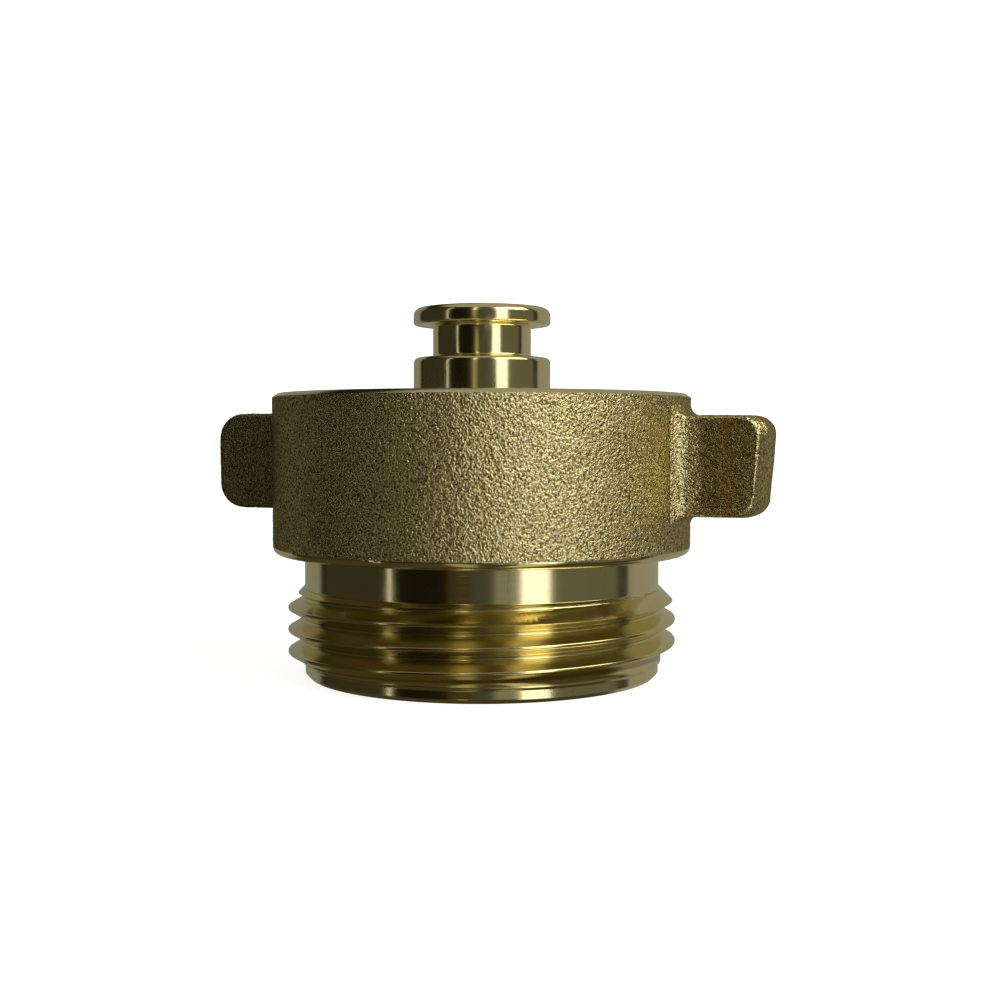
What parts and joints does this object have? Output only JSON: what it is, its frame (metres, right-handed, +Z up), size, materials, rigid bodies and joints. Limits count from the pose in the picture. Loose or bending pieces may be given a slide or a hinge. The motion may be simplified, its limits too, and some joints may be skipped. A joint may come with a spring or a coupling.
{
  "type": "hose inlet blanking plug",
  "caption": "Brass male-thread blanking plug for a fire hose inlet: rough cast collar with wrench lugs, turned threaded tail, closed top and a swivelling grooved chain knob.",
  "frame": {"origin": "on the plug's axis, in the plane of the tail's end, which is the lowest point", "axes": "+Z up the axis from the tail to the chain knob, +X through the two lugs"},
  "size_m": [0.0758, 0.0542, 0.0476],
  "materials": {
    "cast_brass": "as-cast, shot-blasted and dulled, with a fine pebbled grain",
    "turned_brass": "turned bright, with fine tool lines",
    "black_rubber": "black, moulded",
    "pin_steel": "drawn stainless wire",
    "washer_bronze": "stamped bronze"
  },
  "bodies": {
    "plug_body": {"lug_collar": "cast_brass", "threaded_tail": "turned_brass", "crown_plate": "turned_brass", "crown_gasket": "black_rubber", "lock_pins": "pin_steel", "thrust_washer": "washer_bronze"},
    "knob": {"chain_knob": "turned_brass", "shank_seal": "black_rubber", "inner_washer": "washer_bronze", "castle_nut": "turned_brass", "cotter_pin": "pin_steel"}
  },
  "joints": [
    {"name": "knob_swivel", "type": "hinge", "parent": "plug_body", "child": "knob", "pos_m": [0, 0, 0.03662], "axis": [0, 0, 1], "continuous": true}
  ]
}
